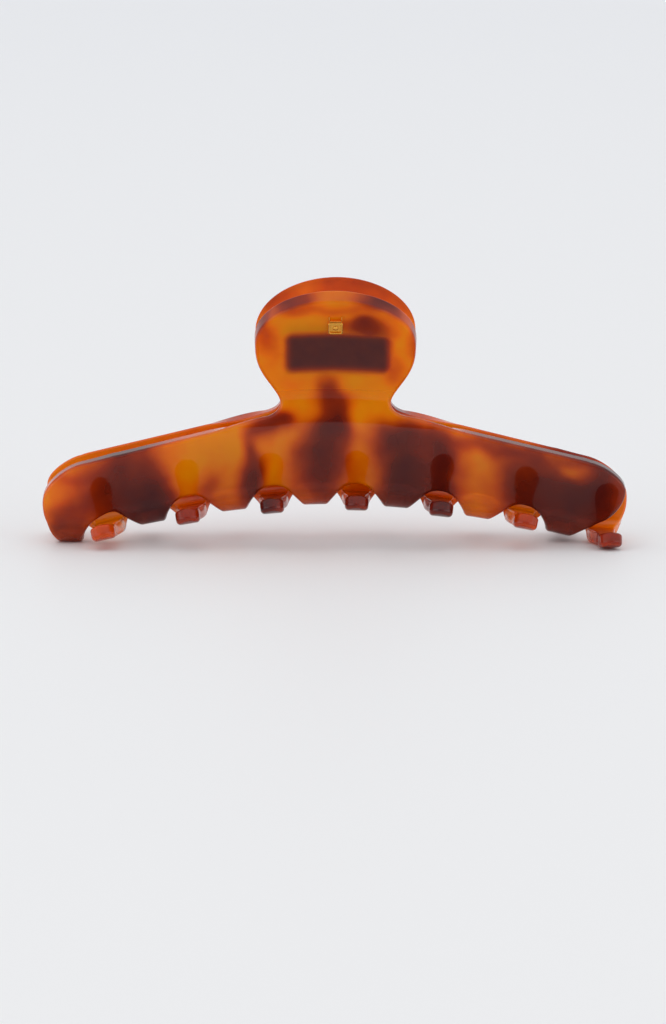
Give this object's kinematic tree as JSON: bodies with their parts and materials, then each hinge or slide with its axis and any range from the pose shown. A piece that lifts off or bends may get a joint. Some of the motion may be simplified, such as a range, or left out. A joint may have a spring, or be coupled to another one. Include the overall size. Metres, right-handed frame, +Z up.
{
  "type": "claw clip",
  "caption": "Large hair claw clip: two curved toothed plates on a spring hinge with rounded thumb grips and interleaved inward-curled teeth.",
  "frame": {"origin": "on the surface the clip stands on, under the middle of the hinge and the middle of the jaw", "axes": "+X along the jaw and the hinge pin, +Y from the front plate, which carries the stud, to the back plate, +Z up from the teeth to the heads"},
  "size_m": [0.1056, 0.0288, 0.047],
  "materials": {
    "acetate": "polished tortoiseshell cellulose acetate",
    "hinge_plastic": "satin moulded dark brown plastic",
    "steel": "drawn spring steel",
    "gold": "polished gold plate"
  },
  "bodies": {
    "back_half": {"back_plate": "acetate", "back_hinge_block": "hinge_plastic", "torsion_spring": "steel"},
    "front_half": {"front_plate": "acetate", "front_hinge_block": "hinge_plastic", "hinge_pin": "steel", "gold_stud": "gold"}
  },
  "joints": [
    {"name": "jaw_hinge", "type": "hinge", "parent": "back_half", "child": "front_half", "pos_m": [0, 0, 0.0355], "axis": [-1, 0, 0], "range_deg": [0, 72], "stiffness_Nm_per_rad": 0.08, "springref_deg": -74.48, "deforming": ["torsion_spring"]}
  ]
}
